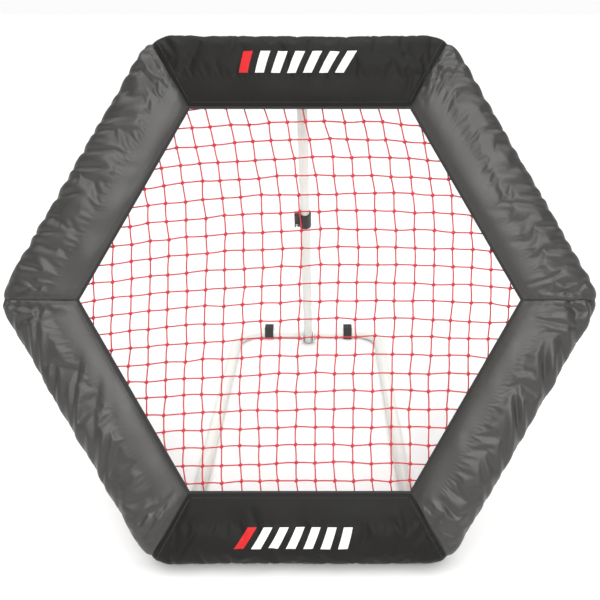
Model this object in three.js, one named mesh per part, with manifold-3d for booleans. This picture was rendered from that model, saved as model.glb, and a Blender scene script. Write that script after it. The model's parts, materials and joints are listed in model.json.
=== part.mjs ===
// A hexagonal ball rebounder: a padded tube hexagon with a laced net, hinged on a U-shaped ground base
// and propped from behind by a telescopic strut. Millimetres, +Z up, front face towards -Y.
import * as THREE from "three";
import { mergeVertices } from "three/addons/utils/BufferGeometryUtils.js";
import Module from "manifold-3d";

const wasm = await Module();
wasm.setup();

// ---- Driving dimensions ----------------------------------------------------------------------------

// Hexagonal frame, bent from round steel tube in two halves.
const TUBE_R = 16;
const TUBE_WALL = 1.5;
const FRAME_APOTHEM = 517; // hexagon centre to the tube's axis
const FRAME_BEND_R = 80;
const LEAN_DEG = 64.2; // between the net and the ground

// Ground base.
const LEG_FROM_BEND = 6; // leg axis inboard of the bottom tube's bend
const BASE_LENGTH = 923; // hinge axis to crossbar axis
const BASE_BEND_R = 85;
const LEG_OVERHANG = 10; // leg tube beyond the hinge axis
const SOLE = 3; // rubber under the tube
const FOOT_LENGTH = 42;
const FOOT_FROM_HINGE = 74;
const CLIP_X = 138;
const CLIP_WIDTH = 29;
const CLIP_CREST = 11; // clip above the tube

// Hinge and strut brackets.
const HINGE_STANDOFF = 26; // hinge axis behind the frame tube's skin
const PLATE = 3;
const EAR_R = 13;
const BOLT_R = 4;
const BOLT_HEAD = 5.5;
const BOLT_FLAT_R = 7.5; // hexagon, centre to corner
const WASHER = 1.5;
const WASHER_R = 10;

// Sleeve and screws of the frame's two joints.
const CONNECTOR_HALF = 60;
const SCREW_X = 10; // screw from the joint
const SCREW_R = 2.2;
const SCREW_HEAD_R = 4.5;
const SCREW_HEAD = 3;
const SCREW_DEPTH = 9; // screw tip below the tube's axis

// Telescopic strut.
const STRUT_R = 14;
const STRUT_BORE_R = 12.6;
const STRUT_FOOT_STANDOFF = 24; // foot pivot ahead of the crossbar's skin
const STRUT_FOOT_OVERHANG = 12;
const STRUT_OUTER_TOP = 580; // foot pivot to the outer tube's mouth
const INNER_R = 12.2;
const INNER_BORE_R = 10.9;
const STRUT_OVERLAP = 200; // inner tube inside the outer tube
const EYE_THICKNESS = 15;
const EYE_R = 14;
const EYE_PLAY = 4.8; // free play of the eye around its bolt
const EYE_NECK = 26; // eye axis to the inner tube's end

// Clamp.
const COLLAR_R = 17;
const COLLAR_LENGTH = 46;
const COLLAR_LIP = 6; // collar above the outer tube's mouth
const LUG_REACH = 28; // strut axis to the lugs' outer face
const LUG_HALF = 9;
const LUG_SLIT = 1.2;
const CLAMP_X = -22.5;
const CLAMP_DROP = 24; // clamp bolt below the outer tube's mouth
const CLAMP_BOLT_R = 2.6;
const CLAMP_EYE_R = 4.2; // flat eye at the bolt's lever end
const CLAMP_EYE_HALF = 1.6;
const CLAMP_NUT_R = 5.2;
const CLAMP_NUT = 4.5;
const LEVER_STANDOFF = 7; // lever pin ahead of the lugs
const LEVER_HEAD_R = 6.5;
const LEVER_REACH = 38;
const LEVER_HALF = 5.5;
const LEVER_PIN_R = 2;

// Net, lacing and pads.
const LACE_SPAN = 60; // frame tube's axis to the border cord's axis
const BORDER_R = 3;
const BORDER_BEND_R = 15;
const NET_EDGE = 9; // net edge inside the border cord's axis
const NET_THICKNESS = 3;
const NET_CORNER_R = 10;
const LACE_R = 2;
const LACE_PITCH = 72;
const PAD_WIDTH = 146;
const PAD_WALL = 6; // pad outside the space for tube and lacing
const PAD_FOAM = 14; // pad in front of that space
const PAD_FLAP = 67; // width of the flap behind the tube
const LACE_ROOM = 6; // space round the tube for the lacing
const FLAP_THICKNESS = 3;

// Clearances.
const GAP = 0.4;
const RUNNING = 0.3;
const SEAM_GAP = 0.5;

// ---- Derived places --------------------------------------------------------------------------------

const DEG = Math.PI / 180;
const LEAN = LEAN_DEG * DEG;
const TAN30 = Math.tan(30 * DEG);
const COS30 = Math.cos(30 * DEG);
const STRAIGHT_HALF = (FRAME_APOTHEM - FRAME_BEND_R) * TAN30;
const LEG_X = STRAIGHT_HALF - LEG_FROM_BEND;
const HINGE_BACK = TUBE_R + HINGE_STANDOFF; // hinge axis behind the frame tube's axis
const STRUT_FOOT_AHEAD = TUBE_R + STRUT_FOOT_STANDOFF; // foot pivot ahead of the crossbar's axis
const AXIS_Z = TUBE_R + SOLE;
const FOOT_Y = BASE_LENGTH - STRUT_FOOT_AHEAD;
const FRAME_Y = -HINGE_BACK * Math.sin(LEAN) + FRAME_APOTHEM * Math.cos(LEAN);
const FRAME_Z = AXIS_Z + HINGE_BACK * Math.cos(LEAN) + FRAME_APOTHEM * Math.sin(LEAN);
const EYE_Y = 2 * FRAME_APOTHEM * Math.cos(LEAN);
const EYE_Z = AXIS_Z + 2 * FRAME_APOTHEM * Math.sin(LEAN);
const STRUT_LENGTH = Math.hypot(EYE_Y - FOOT_Y, EYE_Z - AXIS_Z);
const STRUT_ANGLE = Math.atan2(EYE_Z - AXIS_Z, EYE_Y - FOOT_Y);
const BORDER_APOTHEM = FRAME_APOTHEM - LACE_SPAN;
const CHANNEL = TUBE_R + LACE_ROOM; // half width of the space for tube and lacing
const PAD_OUTSIDE = CHANNEL + PAD_WALL; // pad beyond the frame tube's axis
const PAD_FRONT = CHANNEL + PAD_FOAM;
const FLAP_BACK = CHANNEL + FLAP_THICKNESS + GAP;
const PAD_OUTER = FRAME_APOTHEM + PAD_OUTSIDE;
const PAD_INNER = PAD_OUTER - PAD_WIDTH;
const HINGE_HALF = TUBE_R + GAP * 3; // hinge bolt axis: leg side to the ear's inner face
const FOOT_HALF = STRUT_R + WASHER + GAP * 2;
const EYE_HALF = EYE_THICKNESS / 2 + 0.5;

// ---- Materials -------------------------------------------------------------------------------------

const finish = (color, roughness, metalness) =>
  new THREE.MeshStandardMaterial({ color, roughness, metalness });
const MATERIALS = {
  steel: finish("#d9dad6", 0.4, 0.1),
  zinc: finish("#b9bcc0", 0.35, 0.9),
  plastic: finish("#222120", 0.5, 0),
  rubber: finish("#1c1c1c", 0.85, 0),
  cover: finish("#37373a", 0.45, 0),
  net: finish("#d81e33", 0.7, 0),
  elastic: finish("#161616", 0.8, 0),
};

// ---- Solid helpers ---------------------------------------------------------------------------------

// A closed three.js geometry as a solid that can be joined and cut.
function solidOf(geometry) {
  const bare = geometry.index ? geometry.toNonIndexed() : geometry.clone();
  bare.deleteAttribute("normal");
  bare.deleteAttribute("uv");
  const merged = mergeVertices(bare, 1e-4);
  const mesh = new wasm.Mesh({
    numProp: 3,
    vertProperties: merged.attributes.position.array,
    triVerts: new Uint32Array(merged.index.array),
  });
  return new wasm.Manifold(mesh);
}

// A solid back as a geometry.
function geometryOf(solid) {
  const mesh = solid.getMesh();
  const geometry = new THREE.BufferGeometry();
  geometry.setAttribute("position", new THREE.BufferAttribute(mesh.vertProperties, 3));
  geometry.setIndex(new THREE.BufferAttribute(mesh.triVerts, 1));
  geometry.computeVertexNormals();
  return geometry;
}

const join = (...parts) => geometryOf(parts.map(solidOf).reduce((sum, part) => sum.add(part)));
const cut = (body, ...tools) =>
  geometryOf(tools.map(solidOf).reduce((rest, tool) => rest.subtract(tool), solidOf(body)));
const common = (a, b) => geometryOf(solidOf(a).intersect(solidOf(b)));

// Points of a regular polygon standing for a circle.
function circle(radius, sides) {
  const turn = (i) => ((i + 0.5) * 2 * Math.PI) / sides;
  return Array.from({ length: sides }, (_, i) =>
    new THREE.Vector2(radius * Math.cos(turn(i)), radius * Math.sin(turn(i))),
  );
}

// A rod or a hexagon prism between two places along one axis.
function rod(axis, radius, from, to, a = 0, b = 0, sides = 20) {
  const geometry = new THREE.CylinderGeometry(radius, radius, to - from, sides);
  if (axis === "x") geometry.rotateZ(-Math.PI / 2);
  if (axis === "z") geometry.rotateX(Math.PI / 2);
  const mid = (from + to) / 2;
  const place = { x: [mid, a, b], y: [a, mid, b], z: [a, b, mid] }[axis];
  return geometry.translate(...place);
}

// A block between two corners.
function block(low, high) {
  const size = low.map((v, i) => high[i] - v);
  const mid = low.map((v, i) => (high[i] + v) / 2);
  return new THREE.BoxGeometry(...size).translate(...mid);
}

// A flat outline with optional holes, extruded along Z from one height to another.
function slab(points, from, to, holes = []) {
  const shape = new THREE.Shape(points);
  holes.forEach((hole) => shape.holes.push(new THREE.Path(hole)));
  const geometry = new THREE.ExtrudeGeometry(shape, { depth: to - from, bevelEnabled: false });
  return geometry.translate(0, 0, from);
}

// The same outline, given in (Y, Z), extruded along X.
function slabX(points, from, to, holes = []) {
  const flat = slab(points, from, to, holes);
  return flat.applyMatrix4(new THREE.Matrix4().set(0, 0, 1, 0, 1, 0, 0, 0, 0, 1, 0, 0, 0, 0, 0, 1));
}

// A route through knots, each with its own direction, for extruding a section along it.
class KnotPath extends THREE.Curve {
  constructor(points, tangents) {
    super();
    this.points = points;
    this.tangents = tangents;
  }
  get steps() {
    return this.points.length - 1;
  }
  getPoint(t, target = new THREE.Vector3()) {
    const place = t * this.steps;
    const i = Math.min(Math.floor(place), this.steps - 1);
    return target.lerpVectors(this.points[i], this.points[i + 1], place - i);
  }
  getPointAt(u, target) {
    return this.getPoint(u, target);
  }
  getTangentAt(u, target = new THREE.Vector3()) {
    return target.copy(this.tangents[Math.round(u * this.steps)]);
  }
}

// Straight runs between corners, each corner rounded to one bend radius.
function bentPath(corners, radius, stepsPerBend) {
  const points = [corners[0]];
  const heading = (i) => corners[i + 1].clone().sub(corners[i]).normalize();
  const tangents = [heading(0)];
  for (let i = 1; i < corners.length - 1; i++) {
    const before = heading(i - 1);
    const after = heading(i);
    const turn = before.angleTo(after);
    const inward = after.clone().sub(before).normalize();
    const centre = corners[i].clone().addScaledVector(inward, radius / Math.cos(turn / 2));
    const axis = before.clone().cross(after).normalize();
    const arm = inward.clone().multiplyScalar(-radius).applyAxisAngle(axis, -turn / 2);
    for (let k = 0; k <= stepsPerBend; k++) {
      const swing = (turn * k) / stepsPerBend;
      points.push(arm.clone().applyAxisAngle(axis, swing).add(centre));
      tangents.push(before.clone().applyAxisAngle(axis, swing));
    }
  }
  points.push(corners.at(-1));
  tangents.push(heading(corners.length - 2));
  return new KnotPath(points, tangents);
}

// A round tube, or a solid cord when it has no bore, along a path.
function tube(path, radius, boreRadius, sides) {
  const shape = new THREE.Shape(circle(radius, sides));
  if (boreRadius) shape.holes.push(new THREE.Path(circle(boreRadius, sides)));
  return new THREE.ExtrudeGeometry(shape, { extrudePath: path, steps: path.steps, bevelEnabled: false });
}

// A straight tube along Y.
function straightTube(radius, boreRadius, from, to, sides = 24) {
  const ends = [new THREE.Vector3(0, from, 0), new THREE.Vector3(0, to, 0)];
  const along = new THREE.Vector3(0, 1, 0);
  return tube(new KnotPath(ends, [along, along]), radius, boreRadius, sides);
}

function add(group, name, geometry, material) {
  const mesh = new THREE.Mesh(geometry, MATERIALS[material]);
  mesh.name = name;
  group.add(mesh);
  return mesh;
}

// A hexagon-headed bolt along X, its head on the low side, and the nut on its far end.
function boltAndNut(group, name, half, x, y, z) {
  const inner = half + PLATE + RUNNING;
  const head = rod("x", BOLT_FLAT_R, -inner - BOLT_HEAD, -inner, 0, 0, 6);
  const shank = rod("x", BOLT_R, -inner - 1, inner + BOLT_HEAD + 2);
  const nut = cut(
    rod("x", BOLT_FLAT_R, inner, inner + BOLT_HEAD, 0, 0, 6),
    rod("x", BOLT_R + RUNNING, inner - 1, inner + BOLT_HEAD + 1),
  );
  add(group, name + "_bolt", join(head, shank), "zinc").position.set(x, y, z);
  add(group, name + "_nut", nut, "zinc").position.set(x, y, z);
}

// A U-shaped bracket: a web across Y and two drilled ears reaching along +Z to the pivot at reach.
function bracket(half, webFrom, reach) {
  const web = block([-half - PLATE, -EAR_R, webFrom], [half + PLATE, EAR_R, webFrom + PLATE]);
  const ears = [-1, 1].flatMap((side) => {
    const [low, high] = [side * half, side * (half + PLATE)].sort((p, q) => p - q);
    return [block([low, -EAR_R, webFrom], [high, EAR_R, reach]), rod("x", EAR_R, low, high, 0, reach, 28)];
  });
  const drill = rod("x", BOLT_R + RUNNING, -half - PLATE - 1, half + PLATE + 1, 0, reach);
  return cut(join(web, ...ears), drill);
}

// ---- Ground base -----------------------------------------------------------------------------------

function groundBase() {
  const base = new THREE.Group();
  base.position.z = AXIS_Z;
  const point = (x, y) => new THREE.Vector3(x, y, 0);
  const route = [
    point(-LEG_X, -LEG_OVERHANG),
    point(-LEG_X, BASE_LENGTH),
    point(LEG_X, BASE_LENGTH),
    point(LEG_X, -LEG_OVERHANG),
  ];
  const rail = tube(bentPath(route, BASE_BEND_R, 8), TUBE_R, TUBE_R - TUBE_WALL, 20);
  const drill = rod("x", BOLT_R + RUNNING, -LEG_X - TUBE_R - 1, LEG_X + TUBE_R + 1);
  add(base, "base_frame", cut(rail, drill), "steel");

  for (const [side, x] of [["left", -LEG_X], ["right", LEG_X]]) {
    const cap = rod("y", TUBE_R - 2, -LEG_OVERHANG - 3, -LEG_OVERHANG - GAP);
    const spigot = rod("y", TUBE_R - TUBE_WALL - GAP, -LEG_OVERHANG - 1, -LEG_OVERHANG + 4);
    add(base, "leg_plug_" + side, join(cap, spigot), "plastic").position.x = x;
    const foot = add(base, "front_foot_" + side, footBlock(), "rubber");
    foot.position.set(x, FOOT_FROM_HINGE, 0);
    foot.rotation.z = Math.PI / 2;
  }
  for (const [side, x] of [["left", -CLIP_X], ["right", CLIP_X]]) {
    add(base, "crossbar_clip_" + side, clipBlock(), "plastic").position.set(x, BASE_LENGTH, 0);
  }

  const clevis = bracket(FOOT_HALF, TUBE_R + GAP, STRUT_FOOT_AHEAD).rotateX(Math.PI / 2);
  add(base, "strut_clevis", clevis, "steel").position.y = BASE_LENGTH;
  boltAndNut(base, "strut_foot", FOOT_HALF, 0, FOOT_Y, 0);
  for (const [side, sign] of [["left", -1], ["right", 1]]) {
    const inner = sign * (STRUT_R + GAP);
    const outer = sign * (STRUT_R + GAP + WASHER);
    const [low, high] = [inner, outer].sort((p, q) => p - q);
    const ring = cut(rod("x", WASHER_R, low, high), rod("x", BOLT_R + RUNNING, low - 1, high + 1));
    add(base, "strut_foot_washer_" + side, ring, "plastic").position.y = FOOT_Y;
  }
  return base;
}

// A rubber foot under a leg, its flat sole on the ground.
function footBlock() {
  const wide = TUBE_R + 5;
  const points = [
    [-wide + 2, -AXIS_Z],
    [wide - 2, -AXIS_Z],
    [wide, -AXIS_Z + 4],
    [wide, 4],
    [TUBE_R + 1, 8],
    [-TUBE_R - 1, 8],
    [-wide, 4],
    [-wide, -AXIS_Z + 4],
  ].map(([y, z]) => new THREE.Vector2(y, z));
  const body = slabX(points, -FOOT_LENGTH / 2, FOOT_LENGTH / 2);
  return cut(
    body,
    rod("x", TUBE_R + GAP, -FOOT_LENGTH, FOOT_LENGTH, 0, 0, 28),
    block([-FOOT_LENGTH, -TUBE_R + 2, 0], [FOOT_LENGTH, TUBE_R - 2, TUBE_R]),
  );
}

// A plastic clip round the crossbar, with a sole below and a saddle block above.
function clipBlock() {
  const wall = 3.2;
  const crest = TUBE_R + CLIP_CREST;
  const points = [
    [-TUBE_R + 2, -AXIS_Z],
    [TUBE_R - 2, -AXIS_Z],
    [TUBE_R + wall, -8],
    [TUBE_R + wall, 10],
    [13, crest],
    [-13, crest],
    [-TUBE_R - wall, 10],
    [-TUBE_R - wall, -8],
  ].map(([y, z]) => new THREE.Vector2(y, z));
  const body = slabX(points, -CLIP_WIDTH / 2, CLIP_WIDTH / 2);
  return cut(
    body,
    rod("x", TUBE_R + GAP, -CLIP_WIDTH, CLIP_WIDTH, 0, 0, 28),
    block([-CLIP_WIDTH, 0, -4], [CLIP_WIDTH, TUBE_R + 2 * wall, 4]),
  );
}

// ---- Hexagonal frame -------------------------------------------------------------------------------

// Hexagon corner at a heading in degrees, in the net's plane.
function hexCorner(heading, apothem = FRAME_APOTHEM) {
  const r = apothem / COS30;
  return new THREE.Vector3(r * Math.cos(heading * DEG), r * Math.sin(heading * DEG), 0);
}

// A point in the middle of the side at a heading, moved along the side by slip.
function sideMiddle(heading, slip) {
  const a = heading * DEG;
  return new THREE.Vector3(
    FRAME_APOTHEM * Math.cos(a) - slip * Math.sin(a),
    FRAME_APOTHEM * Math.sin(a) + slip * Math.cos(a),
    0,
  );
}

// A group whose X runs along one side of the hexagon and whose Y points outwards.
function sideGroup(parent, heading) {
  const group = new THREE.Group();
  group.rotation.z = (heading - 90) * DEG;
  parent.add(group);
  return group;
}

const SIDES = [
  ["top", 90],
  ["upper_left", 150],
  ["lower_left", 210],
  ["bottom", 270],
  ["lower_right", 330],
  ["upper_right", 30],
];
const JOINT_HEADINGS = [["left", 210], ["right", 330]];

function hexFrame() {
  const frame = new THREE.Group();
  frame.position.set(0, FRAME_Y, FRAME_Z);
  frame.rotation.x = LEAN;

  const upper = [
    sideMiddle(210, -GAP / 2),
    ...[180, 120, 60, 0].map((a) => hexCorner(a)),
    sideMiddle(330, GAP / 2),
  ];
  const lower = [
    sideMiddle(210, GAP / 2),
    ...[240, 300].map((a) => hexCorner(a)),
    sideMiddle(330, -GAP / 2),
  ];
  const drills = JOINT_HEADINGS.flatMap(([, heading]) => [-SCREW_X, SCREW_X].map((x) => {
    const drill = rod("z", SCREW_R + RUNNING, -TUBE_R - 2, -5, x, FRAME_APOTHEM, 12);
    return drill.rotateZ((heading - 90) * DEG);
  }));
  for (const [half, corners] of [["upper", upper], ["lower", lower]]) {
    const bent = tube(bentPath(corners, FRAME_BEND_R, 5), TUBE_R, TUBE_R - TUBE_WALL, 16);
    add(frame, "frame_" + half + "_tube", cut(bent, ...drills), "steel");
  }
  for (const [side, heading] of JOINT_HEADINGS) frameConnector(sideGroup(frame, heading), side);

  for (const [side, x] of [["left", -LEG_X], ["right", LEG_X]]) {
    const ears = bracket(HINGE_HALF, TUBE_R + GAP, HINGE_BACK).rotateY(Math.PI);
    add(frame, "hinge_bracket_" + side, ears, "steel").position.set(x, -FRAME_APOTHEM, 0);
    boltAndNut(frame, "hinge_" + side, HINGE_HALF, x, -FRAME_APOTHEM, -HINGE_BACK);
  }
  const eyeBracket = bracket(EYE_HALF, TUBE_R + GAP, HINGE_BACK).rotateY(Math.PI);
  add(frame, "top_bracket", eyeBracket, "steel").position.y = FRAME_APOTHEM;
  boltAndNut(frame, "top_pivot", EYE_HALF, 0, FRAME_APOTHEM, -HINGE_BACK);
  netAndPads(frame);
  return frame;
}

// The sleeve inside a frame joint and the two screws that hold it.
function frameConnector(group, side) {
  const outer = TUBE_R - TUBE_WALL - GAP;
  const sleeve = straightTube(outer, outer - TUBE_WALL, -CONNECTOR_HALF, CONNECTOR_HALF, 16);
  sleeve.rotateZ(-Math.PI / 2);
  const drills = [-SCREW_X, SCREW_X].map((x) => rod("z", SCREW_R + RUNNING, -TUBE_R, -5, x, 0, 12));
  const connector = add(group, "frame_connector_" + side, cut(sleeve, ...drills), "zinc");
  connector.position.y = FRAME_APOTHEM;
  [["upper", side === "left" ? -1 : 1], ["lower", side === "left" ? 1 : -1]].forEach(([half, sign]) => {
    const head = rod("z", SCREW_HEAD_R, -TUBE_R - SCREW_HEAD, -TUBE_R - GAP, 0, 0, 16);
    const shank = rod("z", SCREW_R, -TUBE_R - 1, -SCREW_DEPTH, 0, 0, 12);
    const screw = add(group, "joint_screw_" + side + "_" + half, join(head, shank), "zinc");
    screw.position.set(sign * SCREW_X, FRAME_APOTHEM, 0);
  });
}

// ---- Net, lacing and pads --------------------------------------------------------------------------

// One stretch of a rounded hexagon outline: the arc between a corner and the middle of a side.
function outlineArc(apothem, radius, fromDeg, toDeg, cornerDeg, steps) {
  const reach = (apothem - radius) / COS30;
  return Array.from({ length: steps + 1 }, (_, i) => {
    const a = (fromDeg + ((toDeg - fromDeg) * i) / steps) * DEG;
    return new THREE.Vector2(
      reach * Math.cos(cornerDeg * DEG) + radius * Math.cos(a),
      reach * Math.sin(cornerDeg * DEG) + radius * Math.sin(a),
    );
  });
}

// A whole rounded hexagon.
function roundedHexagon(apothem, radius, steps = 6) {
  return [0, 60, 120, 180, 240, 300].flatMap((corner) =>
    outlineArc(apothem, radius, corner - 30, corner + 30, corner, steps),
  );
}

function netAndPads(frame) {
  const netApothem = BORDER_APOTHEM - NET_EDGE;
  const sheet = slab(roundedHexagon(netApothem, NET_CORNER_R, 2), -NET_THICKNESS / 2, NET_THICKNESS / 2);
  add(frame, "net", sheet, "net");
  add(frame, "net_border_cord", borderCord(), "net");
  for (const [side, heading] of SIDES) {
    const group = sideGroup(frame, heading);
    add(group, "lacing_" + side, lacing(), "elastic");
    add(group, "pad_" + side, pad(side), "cover");
  }
}

// The net's border cord, two half rings joined end to end.
function borderCord() {
  const mid = (heading) =>
    new THREE.Vector3(BORDER_APOTHEM * Math.cos(heading * DEG), BORDER_APOTHEM * Math.sin(heading * DEG), 0);
  const half = (from) => {
    const corners = [30, 90, 150].map((a) => hexCorner(from + a, BORDER_APOTHEM));
    return tube(bentPath([mid(from), ...corners, mid(from + 180)], BORDER_BEND_R, 2), BORDER_R, 0, 8);
  };
  return join(half(30), half(210));
}

// An elastic cord wound round the frame tube and the border cord, one turn for each pitch.
function lacing() {
  const tubeSteps = 8;
  const borderSteps = 3;
  const bigR = (TUBE_R + GAP + LACE_R) / Math.cos(Math.PI / 2 / tubeSteps);
  const smallR = (BORDER_R + GAP + LACE_R) / Math.cos(Math.PI / 2 / borderSteps);
  const lean = Math.acos((bigR - smallR) / LACE_SPAN);
  const turns = Math.floor((2 * (LEG_X - HINGE_HALF - 2 * PLATE)) / LACE_PITCH / 2) * 2;
  const loop = [];
  const ring = (centre, radius, from, to, steps) => {
    for (let i = 0; i <= steps; i++) {
      const a = from + ((to - from) * i) / steps;
      loop.push([centre + radius * Math.cos(a), radius * Math.sin(a)]);
    }
  };
  ring(FRAME_APOTHEM, bigR, Math.PI - lean, lean - Math.PI, tubeSteps);
  ring(BORDER_APOTHEM, smallR, lean - Math.PI, -Math.PI - lean, borderSteps);
  const knots = [];
  const count = turns * loop.length;
  for (let k = 0; k <= count; k++) {
    const [y, z] = loop[(k + tubeSteps + 3) % loop.length];
    knots.push(new THREE.Vector3((k / count - 0.5) * turns * LACE_PITCH, y, z));
  }
  const tangents = knots.map((_, i) => {
    const before = knots[Math.max(i - 1, 0)];
    const after = knots[Math.min(i + 1, knots.length - 1)];
    return after.clone().sub(before).normalize();
  });
  return tube(new KnotPath(knots, tangents), LACE_R, 0, 6);
}

// One mitred pad: a foam-filled cover in front of the tube that wraps round it to a flap behind.
function pad(side) {
  const end = PAD_OUTER - PAD_FLAP;
  const section = [
    [PAD_INNER, 6],
    [PAD_INNER, 14],
    [PAD_INNER + 26, PAD_FRONT - 9],
    [PAD_INNER + 71, PAD_FRONT - 1],
    [PAD_OUTER - 20, PAD_FRONT],
    [PAD_OUTER - 4, PAD_FRONT - 6],
    [PAD_OUTER, PAD_FRONT - 20],
    [PAD_OUTER, -FLAP_BACK + 7],
    [PAD_OUTER - 7, -FLAP_BACK],
    [end, -FLAP_BACK],
    [end, -FLAP_BACK + FLAP_THICKNESS],
    [FRAME_APOTHEM - CHANNEL, -FLAP_BACK + FLAP_THICKNESS],
    [FRAME_APOTHEM - CHANNEL, CHANNEL],
  ].map(([y, z]) => new THREE.Vector2(y, z));
  const prism = slabX(section.reverse(), -PAD_OUTER, PAD_OUTER);
  const cornerR = FRAME_BEND_R + PAD_OUTSIDE;
  const apex = new THREE.Vector2(0, SEAM_GAP / TAN30 / 2);
  const right = outlineArc(PAD_OUTER, cornerR, 60, 90, 60, 5);
  const left = outlineArc(PAD_OUTER, cornerR, 90, 120, 120, 5);
  right[0].x -= SEAM_GAP / 2 / COS30;
  left.at(-1).x += SEAM_GAP / 2 / COS30;
  const wedge = slab([apex, ...right, ...left], -PAD_OUTER, PAD_OUTER);
  const channel = slab(
    roundedHexagon(FRAME_APOTHEM + CHANNEL, FRAME_BEND_R + CHANNEL),
    -CHANNEL,
    CHANNEL,
    [roundedHexagon(FRAME_APOTHEM - CHANNEL - 7, FRAME_BEND_R - CHANNEL - 7)],
  );
  const cuts = notches(side).map(([from, to]) =>
    block([from, end - 5, -2 * FLAP_BACK], [to, FRAME_APOTHEM + CHANNEL + 3, -CHANNEL + 7]),
  );
  return cut(common(prism, wedge), channel, ...cuts);
}

// Where a bracket and its bolt pass through a pad's rear flap.
function notches(side) {
  const reach = (half) => half + PLATE + RUNNING + BOLT_HEAD + 5;
  const hinge = reach(HINGE_HALF);
  if (side === "bottom") return [-LEG_X, LEG_X].map((x) => [x - hinge, x + hinge]);
  if (side === "top") return [[-reach(EYE_HALF), reach(EYE_HALF)]];
  return [];
}

// ---- Telescopic strut ------------------------------------------------------------------------------

function strut() {
  const group = new THREE.Group();
  group.position.set(0, FOOT_Y, AXIS_Z);
  group.rotation.x = STRUT_ANGLE;

  const foot = -STRUT_FOOT_OVERHANG;
  const outer = straightTube(STRUT_R, STRUT_BORE_R, foot, STRUT_OUTER_TOP);
  const drill = rod("x", BOLT_R + RUNNING, -STRUT_R - 1, STRUT_R + 1);
  add(group, "strut_outer_tube", cut(outer, drill), "steel");
  const plug = join(
    rod("y", STRUT_R - 2, foot - 3, foot - GAP),
    rod("y", STRUT_BORE_R - GAP, foot - 1, foot + 5),
  );
  add(group, "strut_foot_plug", plug, "plastic");

  const innerTop = STRUT_LENGTH - EYE_NECK;
  const innerFoot = STRUT_OUTER_TOP - STRUT_OVERLAP;
  add(group, "strut_inner_tube", straightTube(INNER_R, INNER_BORE_R, innerFoot, innerTop), "steel");
  const bush = join(
    rod("y", INNER_R, innerFoot - 8, innerFoot - GAP),
    rod("y", INNER_BORE_R - GAP, innerFoot - 1, innerFoot + 12),
  );
  add(group, "strut_slide_bush", bush, "plastic");
  add(group, "strut_top_eye", topEye(innerTop), "plastic");

  clamp(group);
  return group;
}

// The eye that closes the inner tube and hangs on the top bracket's bolt.
function topEye(innerTop) {
  const half = EYE_THICKNESS / 2;
  const body = join(
    rod("y", INNER_BORE_R - GAP, innerTop - 22, innerTop + 1),
    rod("y", INNER_R, innerTop + GAP, innerTop + 6),
    block([-half, innerTop + 4, -INNER_R + 3], [half, STRUT_LENGTH, INNER_R - 3]),
    rod("x", EYE_R, -half, half, STRUT_LENGTH, 0, 28),
  );
  return cut(body, rod("x", BOLT_R + EYE_PLAY, -half - 1, half + 1, STRUT_LENGTH, 0));
}

// The split collar at the outer tube's mouth, with its bolt, nut and quick-release lever.
function clamp(group) {
  const top = STRUT_OUTER_TOP + COLLAR_LIP;
  const bottom = top - COLLAR_LENGTH;
  const boltY = STRUT_OUTER_TOP - CLAMP_DROP;
  const pinZ = LUG_HALF + LEVER_STANDOFF;
  const barrel = join(
    rod("y", COLLAR_R, bottom, top, 0, 0, 32),
    block([-LUG_REACH, bottom + 4, -LUG_HALF], [0, top - 4, LUG_HALF]),
  );
  const collar = cut(
    barrel,
    rod("y", STRUT_R + RUNNING, bottom - 1, STRUT_OUTER_TOP + GAP, 0, 0, 32),
    rod("y", INNER_R + GAP, bottom, top + 1, 0, 0, 32),
    block([-LUG_REACH - 1, bottom - 1, -LUG_SLIT], [0, top + 1, LUG_SLIT]),
    rod("z", CLAMP_BOLT_R + RUNNING, -LUG_HALF - 1, LUG_HALF + 1, CLAMP_X, boltY, 16),
  );
  add(group, "clamp_collar", collar, "plastic");

  const nutFrom = -LUG_HALF - RUNNING - CLAMP_NUT;
  const bolt = cut(
    join(
      rod("z", CLAMP_BOLT_R, nutFrom - 1.5, pinZ, CLAMP_X, boltY, 16),
      rod("x", CLAMP_EYE_R, CLAMP_X - CLAMP_EYE_HALF, CLAMP_X + CLAMP_EYE_HALF, boltY, pinZ, 20),
    ),
    rod("x", LEVER_PIN_R + RUNNING, CLAMP_X - 5, CLAMP_X + 5, boltY, pinZ, 16),
  );
  add(group, "clamp_bolt", bolt, "zinc");
  const nut = cut(
    rod("z", CLAMP_NUT_R, nutFrom, -LUG_HALF - RUNNING, CLAMP_X, boltY, 6),
    rod("z", CLAMP_BOLT_R + RUNNING, nutFrom - 1, -LUG_HALF, CLAMP_X, boltY, 16),
  );
  add(group, "clamp_nut", nut, "zinc");

  const lever = new THREE.Group();
  lever.position.set(CLAMP_X, boltY, pinZ);
  group.add(lever);
  const arm = join(
    rod("x", LEVER_HEAD_R, -LEVER_HALF, LEVER_HALF, 0, 0, 24),
    block([-LEVER_HALF, 0, -2.5], [LEVER_HALF, LEVER_REACH, 4]),
    rod("x", 4, -LEVER_HALF, LEVER_HALF, LEVER_REACH, 0.5, 20),
  );
  const slot = CLAMP_BOLT_R + RUNNING;
  const past = LEVER_HEAD_R + 1;
  const fork = block([-slot, -past, -past], [slot, past, past]);
  const drill = rod("x", LEVER_PIN_R + RUNNING, -LEVER_HALF - 1, LEVER_HALF + 1, 0, 0, 16);
  add(lever, "clamp_lever", cut(arm, fork, drill), "plastic");
  const pin = rod("x", LEVER_PIN_R, -LEVER_HALF - 0.6, LEVER_HALF + 0.6, 0, 0, 16);
  add(lever, "clamp_lever_pin", pin, "zinc");
}

// ---- Assembly, with the origin on the ground under the middle of its box ---------------------------

const rebounder = new THREE.Group();
rebounder.add(groundBase(), hexFrame(), strut());
rebounder.updateMatrixWorld(true);
const extent = new THREE.Box3().setFromObject(rebounder, true);
const centre = extent.getCenter(new THREE.Vector3());
rebounder.position.set(-centre.x, -centre.y, -extent.min.z);

export default rebounder;
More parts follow.
